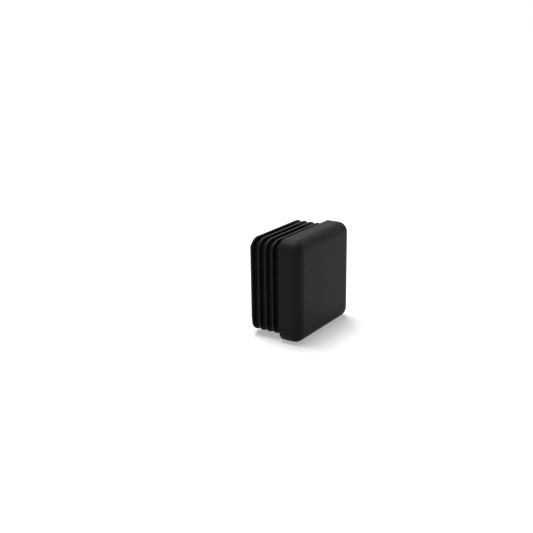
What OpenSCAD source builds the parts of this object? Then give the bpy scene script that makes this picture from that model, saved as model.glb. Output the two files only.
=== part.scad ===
// End cap for a square tube: a moulded plastic insert with a thick rounded head, a flat shoulder
// and a hollow plug with thin fins round it.
// The origin is the centre of the shoulder, which seats on the tube's end. +X runs along the tube's
// axis and out of the tube, and +Z is up.

/* [Tube] */
// Outside width of the square tube, which the head matches
tube_w = 30; // [25:1:50]
// Wall thickness of the tube
tube_wall = 1.2; // [0.8:0.1:2.0]

/* [Head] */
// Thickness of the head, from the shoulder to the outer face
head_t = 6.7; // [5.5:0.1:12]
// Radius of the head's four corners, seen from the end
corner_r = 3.2; // [3:0.1:6]
// Radius of the rounding round the outer face
edge_r = 3; // [0.5:0.1:3]
// Chamfer on the head's edge beside the tube
seat_chamfer = 0.2; // [0.1:0.05:0.4]
// Thickness of the plastic between the cavity and the outer face
face_wall = 3.5; // [2:0.1:5]

/* [Plug] */
// Length of the plug, from the shoulder to its open end
plug_len = 11.5; // [9:0.5:25]
// Gap between the plug's core and the inside of the tube, on each side
core_gap = 1.2; // [0.8:0.1:1.8]
// Wall thickness of the core at its open end
core_wall = 1.5; // [1.2:0.1:2.2]
// Radius of the core's corners
core_r = 2; // [1.5:0.1:3]
// Chamfer that leads the core into the tube
lead_chamfer = 0.7; // [0.3:0.1:1.0]
// Radius of the cavity's corners at its open end
cavity_r = 1.2; // [0.8:0.1:2.0]
// Draft of the cavity's walls, in degrees
draft = 0.75; // [0:0.25:1]

/* [Fins] */
// How far each side of a free fin is oversize for the inside of the tube
fin_squeeze = 0.25; // [0.1:0.05:0.5]
// Distance from one fin to the next
fin_pitch = 2.3; // [2:0.1:5]
// Thickness of a fin where it leaves the core
fin_root_t = 1; // [0.9:0.1:1.6]
// Thickness of a fin at its edge
fin_tip_t = 0.6; // [0.4:0.1:0.9]
// Bare length of core between the last fin and the lead-in chamfer
end_land = 0.5; // [0.2:0.1:2]
// Least bare length of core between the shoulder and the first fin
shoulder_land = 2.1; // [1.5:0.1:4]

/* [Hidden] */
$fn = 96;

// Half widths, from the tube's axis
head_half = tube_w / 2;
bore_half = head_half - tube_wall;
core_half = bore_half - core_gap;
cavity_half = core_half - core_wall;
fin_reach = core_gap + fin_squeeze;

// The cavity runs into the head, and narrows towards its floor
cavity_floor = head_t - face_wall;
draft_in = (plug_len + cavity_floor) * tan(draft);

// The fins are counted back from the open end for as long as they clear the shoulder
last_fin = plug_len - lead_chamfer - end_land - fin_root_t;
fin_count = floor((last_fin - shoulder_land) / fin_pitch) + 1;

// How far the core runs into the head, and a cut past the surface that it opens
overlap = 1;

// Sweeps a section round a square of half width half with corners of radius r. The section's X is
// the distance out from the corners' centres, and its Y runs along the tube's axis.
module round_the_square(half, r) {
    flat = half - r;
    for (side = [0:3])
        rotate([0, 0, 90 * side]) translate([flat, flat, 0]) {
            rotate([90, 0, 0]) linear_extrude(2 * flat) children();
            rotate_extrude(angle = 90) children();
        }
}

// The same sweep with its middle filled, from low to high along the axis
module square_block(half, r, low, high) {
    flat = half - r;
    round_the_square(half, r) children();
    translate([-flat, -flat, low]) cube([2 * flat, 2 * flat, high - low]);
}

// Side of the head, out to its edge: a small chamfer beside the tube, and a quarter round at the
// outer face
module head_section(out) {
    difference() {
        polygon([
            [0, 0],
            [out - seat_chamfer, 0],
            [out, seat_chamfer],
            [out, head_t],
            [0, head_t]
        ]);
        translate([out - edge_r, head_t - edge_r]) difference() {
            square(edge_r + overlap);
            circle(edge_r);
        }
    }
}

// A long bar with the head's section at both of its sides, turned about the tube's axis
module head_bar(turn) {
    rotate([90, 0, turn]) linear_extrude(tube_w + 2 * overlap, center = true) {
        head_section(head_half);
        mirror([1, 0]) head_section(head_half);
    }
}

// The head: two crossed bars give its height between the corners, and each corner is a quarter turn
// of the section. The rounding can be larger or smaller than the corners' radius.
module head() {
    flat = head_half - corner_r;
    long = tube_w + 2 * overlap;
    intersection() {
        head_bar(0);
        head_bar(90);
        union() {
            translate([-long / 2, -flat, -overlap]) cube([long, 2 * flat, head_t + 2 * overlap]);
            translate([-flat, -long / 2, -overlap]) cube([2 * flat, long, head_t + 2 * overlap]);
        }
    }
    for (side = [0:3])
        rotate([0, 0, 90 * side]) translate([flat, flat, 0])
            rotate_extrude(angle = 90) head_section(corner_r);
}

// One fin, square to the core towards the shoulder and sloped on the side that enters the tube first
module fin_section() {
    polygon([
        [0, 0],
        [core_r + fin_reach, 0],
        [core_r + fin_reach, -fin_tip_t],
        [core_r, -fin_root_t],
        [0, -fin_root_t]
    ]);
}

// Side of the plug: the core, chamfered at its open end, and a comb of fins
module plug_section() {
    polygon([
        [0, -plug_len],
        [core_r - lead_chamfer, -plug_len],
        [core_r, lead_chamfer - plug_len],
        [core_r, overlap],
        [0, overlap]
    ]);
    for (i = [0:fin_count - 1]) translate([0, i * fin_pitch - last_fin]) fin_section();
}

// Side of the cavity, wider at the open end so that the plug draws off its mould
module cavity_section() {
    polygon([
        [0, -plug_len - overlap],
        [cavity_r + overlap * tan(draft), -plug_len - overlap],
        [cavity_r - draft_in, cavity_floor],
        [0, cavity_floor]
    ]);
}

module end_cap() {
    color("#2b2b2c") rotate([0, 90, 0]) difference() {
        union() {
            head();
            square_block(core_half, core_r, -plug_len, overlap) plug_section();
        }
        square_block(cavity_half, cavity_r, -plug_len - overlap, cavity_floor) cavity_section();
    }
}

end_cap();
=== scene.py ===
from math import pi, radians

import bmesh
import bpy
from mathutils import Matrix, Vector


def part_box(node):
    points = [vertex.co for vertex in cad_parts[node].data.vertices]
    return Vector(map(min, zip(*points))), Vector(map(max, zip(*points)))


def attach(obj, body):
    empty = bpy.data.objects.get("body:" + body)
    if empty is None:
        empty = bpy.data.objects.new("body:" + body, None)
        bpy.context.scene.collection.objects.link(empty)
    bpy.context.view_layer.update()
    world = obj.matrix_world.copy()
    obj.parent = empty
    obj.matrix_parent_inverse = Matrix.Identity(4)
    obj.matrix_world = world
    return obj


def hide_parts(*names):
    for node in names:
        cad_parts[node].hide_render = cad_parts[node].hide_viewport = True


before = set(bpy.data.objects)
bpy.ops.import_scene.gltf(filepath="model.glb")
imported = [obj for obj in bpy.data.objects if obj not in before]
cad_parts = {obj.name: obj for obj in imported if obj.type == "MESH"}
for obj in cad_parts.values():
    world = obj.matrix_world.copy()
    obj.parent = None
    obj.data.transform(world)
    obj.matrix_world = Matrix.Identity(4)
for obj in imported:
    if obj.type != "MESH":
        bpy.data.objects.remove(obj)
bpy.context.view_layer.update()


# Camera
# It stands in front of the cap and to its left, a little above it, and sees the outer face and the
# near side. The shoulder's centre falls a little to the right of the image's centre and below it.

mm = 0.001
image_size = 533
shoulder_x, shoulder_y = 305.85, 278.17
focal_pixels = 843.2
sensor_width = 36
camera_distance = 248.32 * mm
azimuth, elevation, roll = radians(33.72), radians(17.47), radians(-0.888)

lens = bpy.data.cameras.new("camera")
lens.sensor_width = sensor_width
lens.lens = focal_pixels / image_size * sensor_width
lens.clip_start = 0.01
lens.clip_end = 20

shoulder_right = (shoulder_x - image_size / 2) / focal_pixels
shoulder_down = (shoulder_y - image_size / 2) / focal_pixels
aim = (Matrix.Rotation(azimuth, 4, "Z")
       @ Matrix.Rotation(pi / 2 - elevation, 4, "X")
       @ Matrix.Rotation(roll, 4, "Z"))
stand = aim @ (Vector((-shoulder_right, shoulder_down, 1)) * camera_distance)
camera = bpy.data.objects.new("camera", lens)
camera.matrix_world = Matrix.Translation(stand) @ aim
bpy.context.scene.collection.objects.link(camera)
bpy.context.scene.camera = camera
bpy.context.scene.view_settings.view_transform = "Standard"


# Table and light
# A white laminate table that the head's lower side rests on, under one wide soft lamp and a white
# surround. The camera and reflections see both as plain white, and the table keeps the cap's shadow.

plug_end, face_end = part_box("end_cap")
head_half = face_end.z
table_half = 350 * mm
table_gap = 0.01 * mm
table_colour = "#ececec"

# Light that the table gives off where it is seen, so that it is seen as white
table_lift = 0.36

# Strength of the surround as a light on things. Where it is seen, its strength is 1.
surround_level = 0.2

softbox_size = 0.82
softbox_watts = 24
softbox_place = Vector((-0.4, 0.16, 1.42))


def add_node(tree, kind, settings=None, **sockets):
    """Adds a node. A socket, by its name or as _0 by its place, takes a value or another's output."""
    node = tree.nodes.new(kind)
    for name, value in (settings or {}).items():
        setattr(node, name, value)
    for name, value in sockets.items():
        socket = node.inputs[int(name[1:]) if name[0] == "_" else name.replace("_", " ")]
        if isinstance(value, bpy.types.NodeSocket):
            tree.links.new(value, socket)
        else:
            socket.default_value = value
    return node


def linear(code):
    """An sRGB hex colour as linear red, green, blue and alpha."""
    parts = [int(code[i:i + 2], 16) / 255 for i in (1, 3, 5)]
    return [p / 12.92 if p <= 0.04045 else ((p + 0.055) / 1.055) ** 2.4 for p in parts] + [1]


def seen_directly(tree):
    """1 for rays from the camera, a reflection or glass, and 0 for the light that falls on things."""
    path = add_node(tree, "ShaderNodeLightPath").outputs
    seen = add_node(tree, "ShaderNodeMath", {"operation": "MAXIMUM"},
                    _0=path["Is Camera Ray"], _1=path["Is Glossy Ray"])
    seen = add_node(tree, "ShaderNodeMath", {"operation": "MAXIMUM"},
                    _0=seen.outputs[0], _1=path["Is Transmission Ray"])
    return seen.outputs[0]


table_top = bmesh.new()
bmesh.ops.create_grid(table_top, x_segments=1, y_segments=1, size=table_half,
                      matrix=Matrix.Translation((0, 0, -head_half - table_gap)))
table = bpy.data.objects.new("table", bpy.data.meshes.new("table"))
table_top.to_mesh(table.data)
table_top.free()
bpy.context.scene.collection.objects.link(table)

white_laminate = bpy.data.materials.new("white_laminate")
white_laminate.use_nodes = True
tree = white_laminate.node_tree
tree.nodes.clear()
laminate = add_node(tree, "ShaderNodeBsdfDiffuse", Color=linear(table_colour))
lift = add_node(tree, "ShaderNodeMath", {"operation": "MULTIPLY"},
                _0=seen_directly(tree), _1=table_lift)
lifted = add_node(tree, "ShaderNodeEmission", Strength=lift.outputs[0])
top = add_node(tree, "ShaderNodeAddShader", _0=laminate.outputs[0], _1=lifted.outputs[0])
add_node(tree, "ShaderNodeOutputMaterial", Surface=top.outputs[0])
table.data.materials.append(white_laminate)

studio = bpy.data.worlds.new("studio")
bpy.context.scene.world = studio
studio.use_nodes = True
tree = studio.node_tree
tree.nodes.clear()
level = add_node(tree, "ShaderNodeMapRange", Value=seen_directly(tree),
                 To_Min=surround_level, To_Max=1.0)
surround = add_node(tree, "ShaderNodeBackground", Color=(1, 1, 1, 1), Strength=level.outputs[0])
add_node(tree, "ShaderNodeOutputWorld", Surface=surround.outputs[0])

softbox = bpy.data.lights.new("softbox", "AREA")
softbox.size = softbox_size
softbox.energy = softbox_watts
softbox_stand = bpy.data.objects.new("softbox", softbox)
softbox_stand.matrix_world = (Matrix.Translation(softbox_place)
                              @ softbox_place.to_track_quat("Z", "Y").to_matrix().to_4x4())
bpy.context.scene.collection.objects.link(softbox_stand)


# End cap
# One injection-moulded piece of black low-density polyethylene: a thick head with rounded corners
# and a rounded outer edge, and a hollow square plug with four thin fins that bend as it is pressed
# in. Each side of it is a section swept round a square, with the small radii of a real mould.

head_t = face_end.x
head_corner_r = 3.2 * mm
edge_r = 3.0 * mm
seat_chamfer = 0.2 * mm
seat_edge_r = 0.06 * mm

plug_len = -plug_end.x
core_half = 12.6 * mm
core_r = 2.0 * mm
core_wall = 1.5 * mm
lead_chamfer = 0.7 * mm
mould_r = 0.12 * mm

fins = 4
fin_pitch = 2.3 * mm
first_fin = 2.4 * mm
fin_reach = 1.45 * mm
fin_root_t = 1.0 * mm
fin_tip_t = 0.6 * mm
fin_root_r = 0.18 * mm
fin_edge_r = 0.1 * mm

face_wall = 3.5 * mm
cavity_floor = head_t - face_wall
cavity_floor_r = 0.5 * mm
cavity_half = core_half - core_wall
cavity_r = 1.2 * mm
cavity_draft = 0.192 * mm

# Corner radius of the outer face's flat middle, and the border that keeps its shading flat
face_corner_r = 0.1 * mm
face_border = 0.05 * mm

# Distance from an edge to the loop beside it where the next surface starts
seat_border = 0.2 * mm
root_border = 0.24 * mm
mouth_border = 0.18 * mm
floor_border = 0.6 * mm

corner_steps = 16


def sweep_round_square(cap, half, corner_r, section):
    """Sweeps a section round a square of half width half. A point of the section is its distance out
    from the corners' centres, its place along the axis, and the radius and steps of its rounding,
    which the first and last points don't have. Returns the edges of the sweep's first and last loops,
    which are open."""
    centre = half - corner_r
    merge_distance, near = 0.0005 * mm, 0.001 * mm
    before = set(cap.verts)
    points = [cap.verts.new((along, centre + out, -centre)) for out, along, *rounding in section]
    for pair in zip(points, points[1:]):
        cap.edges.new(pair)
    for point, (out, along, *rounding) in zip(points, section):
        if rounding:
            radius, steps = rounding
            bmesh.ops.bevel(cap, geom=[point], offset=radius, offset_type="OFFSET",
                            segments=steps, profile=0.5, affect="VERTICES", material=-1)
    line = [vertex for vertex in cap.verts if vertex not in before]
    last = line + list(dict.fromkeys(edge for vertex in line for edge in vertex.link_edges))

    for side in range(4):
        turned = Matrix.Rotation(side * pi / 2, 3, "X")
        edges = [item for item in last if isinstance(item, bmesh.types.BMEdge)]
        run = bmesh.ops.extrude_edge_only(cap, edges=edges)["geom"]
        run = [item for item in run if not isinstance(item, bmesh.types.BMFace)]
        bmesh.ops.translate(cap, vec=turned @ Vector((0, 0, 2 * centre)),
                            verts=[item for item in run if isinstance(item, bmesh.types.BMVert)])
        last = bmesh.ops.spin(cap, geom=run, cent=turned @ Vector((0, centre, centre)),
                              axis=(1, 0, 0), angle=pi / 2, steps=corner_steps, use_merge=False,
                              use_normal_flip=False, use_duplicate=False)["geom_last"]
    swept = [vertex for vertex in cap.verts if vertex not in before]
    bmesh.ops.remove_doubles(cap, verts=swept, dist=merge_distance)

    def lies_at(place, out, along):
        from_corner = Vector((max(abs(place.y) - centre, 0), max(abs(place.z) - centre, 0)))
        return abs(place.x - along) < near and abs(from_corner.length - out) < near

    open_edges = [edge for edge in cap.edges if edge.is_boundary]
    return [[edge for edge in open_edges if all(lies_at(vertex.co, *end) for vertex in edge.verts)]
            for end in (section[0], section[-1])]


def bridge_flat(cap, outer, inner):
    """Bridges two loops that lie in one plane with one centre. They are paired wrongly there, so the
    inner loop is moved aside while they are bridged."""
    aside = list({vertex for edge in inner for vertex in edge.verts})
    bmesh.ops.translate(cap, vec=(plug_len, 0, 0), verts=aside)
    bmesh.ops.bridge_loops(cap, edges=outer + inner)
    bmesh.ops.translate(cap, vec=(-plug_len, 0, 0), verts=aside)


cap = bmesh.new()
spark_eroded = cap.verts.layers.float.new("spark_eroded")

face_loop, seat_loop = sweep_round_square(cap, head_half, head_corner_r, [
    (face_corner_r, head_t),
    (head_corner_r, head_t, edge_r, 14),
    (head_corner_r, seat_chamfer, seat_edge_r, 2),
    (head_corner_r - seat_chamfer, 0, seat_edge_r, 2),
    (head_corner_r - seat_chamfer - seat_border, 0)])

# Only the head's outside has the grain of spark erosion, and the material reads here where that is
for vertex in cap.verts:
    vertex[spark_eroded] = float(vertex.co.x > seat_edge_r)

plug = [(core_r + root_border, 0), (core_r, 0, mould_r, 3)]
for fin in range(fins):
    along = -first_fin - fin * fin_pitch
    plug += [
        (core_r, along, fin_root_r, 4),
        (core_r + fin_reach, along, fin_edge_r, 3),
        (core_r + fin_reach, along - fin_tip_t, fin_edge_r, 3),
        (core_r, along - fin_root_t, fin_root_r, 4)]
plug += [
    (core_r, lead_chamfer - plug_len, mould_r, 2),
    (core_r - lead_chamfer, -plug_len, mould_r, 2),
    (core_r - lead_chamfer - mouth_border, -plug_len)]
root_loop, end_loop = sweep_round_square(cap, core_half, core_r, plug)

mouth_loop, floor_loop = sweep_round_square(cap, cavity_half, cavity_r, [
    (cavity_r + mouth_border, -plug_len),
    (cavity_r, -plug_len, mould_r, 3),
    (cavity_r - cavity_draft, cavity_floor, cavity_floor_r, 6),
    (cavity_r - cavity_draft - floor_border, cavity_floor)])

bridge_flat(cap, seat_loop, root_loop)
bridge_flat(cap, end_loop, mouth_loop)
outer_face = bmesh.ops.edgeloop_fill(cap, edges=face_loop)["faces"]
bmesh.ops.inset_region(cap, faces=outer_face, thickness=face_border, use_even_offset=True)

# The plastic was let into the mould at the middle of the cavity's floor, where its stub is left:
# inside a flat ring, a low boss with a sloped side and a shallow dish in its end
gate_r = 0.9 * mm
gate_ring = 0.18 * mm
gate_slope = 0.09 * mm
gate_height = 0.25 * mm
gate_dish = 0.1 * mm

facing_the_mouth = Matrix.Translation((cavity_floor, 0, 0)) @ Matrix.Rotation(-pi / 2, 4, "Y")
gate = bmesh.ops.create_circle(cap, cap_ends=True, segments=len(floor_loop), radius=gate_r,
                               matrix=facing_the_mouth)["verts"]
gate_face = list(gate[0].link_faces)
bridge_flat(cap, floor_loop, list(gate_face[0].edges))
bmesh.ops.inset_region(cap, faces=gate_face, thickness=gate_ring, depth=0)
for rise in (gate_height, -gate_dish):
    bmesh.ops.inset_region(cap, faces=gate_face, thickness=gate_slope)
    bmesh.ops.translate(cap, vec=(-rise, 0, 0), verts=gate_face[0].verts)
bmesh.ops.recalc_face_normals(cap, faces=cap.faces)

for face in cap.faces:
    face.smooth = True
moulded_cap = bpy.data.objects.new("moulded_cap", bpy.data.meshes.new("moulded_cap"))
cap.to_mesh(moulded_cap.data)
cap.free()
bpy.context.scene.collection.objects.link(moulded_cap)
flats = moulded_cap.modifiers.new("flats_stay_flat", "WEIGHTED_NORMAL")
flats.weight = 100

# Black low-density polyethylene, coloured with carbon black. The head's mould was spark-eroded, and
# the fine pits that it leaves give a dull satin; the shadow that they hold is painted shade, darkening
# the colour in the pits. The plug's mould was polished, so the plug is a little glossier, with faint
# lines along its draw, whose low parts are darkened by the same painted shade.
# The real grain is about 0.05 mm, and is drawn at 0.2 mm so that it shows. The specular level is
# low because the surround is seen as plain white from every side, where a real room is darker.

carbon_black, clouded_black = "#1a1a1d", "#202023"
cloud = 5 * mm
grain = 0.2 * mm
grain_depth = 0.03 * mm
grain_strength = 0.6
# Heights between which the painted shade of the pits goes, and the colour's brightness at the pits'
# floor
pit_floor, pit_rim = 0.35, 0.6
painted_pit_shade = 0.35
draw_line = 0.25 * mm
draw_line_length = 6 * mm
line_low, line_high = 0.46, 0.62
head_roughness, plug_roughness = 0.52, 0.42
cloud_haze = 0.05
polyethylene_ior = 1.51
specular_level = 0.085
specular_tint = "#f5f6ff"

black_polyethylene = bpy.data.materials.new("moulded_black_polyethylene")
black_polyethylene.use_nodes = True
tree = black_polyethylene.node_tree
tree.nodes.clear()
place = add_node(tree, "ShaderNodeTexCoord").outputs["Object"]
on_head = add_node(tree, "ShaderNodeAttribute", {"attribute_name": "spark_eroded"}).outputs["Fac"]

spark_grain = add_node(tree, "ShaderNodeTexNoise", Vector=place, Scale=1 / grain, Detail=2.0)
stretch = add_node(tree, "ShaderNodeMapping", Vector=place,
                   Scale=(1 / draw_line_length, 1 / draw_line, 1 / draw_line))
draw_lines = add_node(tree, "ShaderNodeTexNoise", Vector=stretch.outputs[0], Scale=1.0, Detail=2.0)
faint_lines = add_node(tree, "ShaderNodeMapRange", Value=draw_lines.outputs["Fac"],
                       To_Min=line_low, To_Max=line_high)
height = add_node(tree, "ShaderNodeMix", {"data_type": "FLOAT"},
                  _0=on_head, _2=faint_lines.outputs[0], _3=spark_grain.outputs["Fac"])
surface = add_node(tree, "ShaderNodeBump", Height=height.outputs[0],
                   Strength=grain_strength, Distance=grain_depth)

clouds = add_node(tree, "ShaderNodeTexNoise", Vector=place, Scale=1 / cloud, Detail=3.0).outputs["Fac"]
pigment = add_node(tree, "ShaderNodeMix", {"data_type": "RGBA"},
                   _0=clouds, _6=linear(carbon_black), _7=linear(clouded_black))
# Painted shade: the colour is made darker where the grain's pits and the draw lines' troughs lie low
painted_shade = add_node(tree, "ShaderNodeMapRange", Value=height.outputs[0],
                 From_Min=pit_floor, From_Max=pit_rim, To_Min=painted_pit_shade, To_Max=1.0)
colour = add_node(tree, "ShaderNodeMix", {"data_type": "RGBA", "blend_type": "MULTIPLY"},
                  _0=1.0, _6=pigment.outputs[2], _7=painted_shade.outputs[0])
dullness = add_node(tree, "ShaderNodeMapRange", Value=on_head,
                    To_Min=plug_roughness, To_Max=head_roughness)
haze = add_node(tree, "ShaderNodeMapRange", Value=clouds, To_Min=-cloud_haze, To_Max=cloud_haze)
roughness = add_node(tree, "ShaderNodeMath", {"operation": "ADD"},
                     _0=dullness.outputs[0], _1=haze.outputs[0])

plastic = add_node(tree, "ShaderNodeBsdfPrincipled", Base_Color=colour.outputs[2],
                   Roughness=roughness.outputs[0], Normal=surface.outputs[0],
                   IOR=polyethylene_ior, Specular_IOR_Level=specular_level,
                   Specular_Tint=linear(specular_tint))
add_node(tree, "ShaderNodeOutputMaterial", Surface=plastic.outputs[0])
moulded_cap.data.materials.append(black_polyethylene)

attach(moulded_cap, "root")
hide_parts("end_cap")
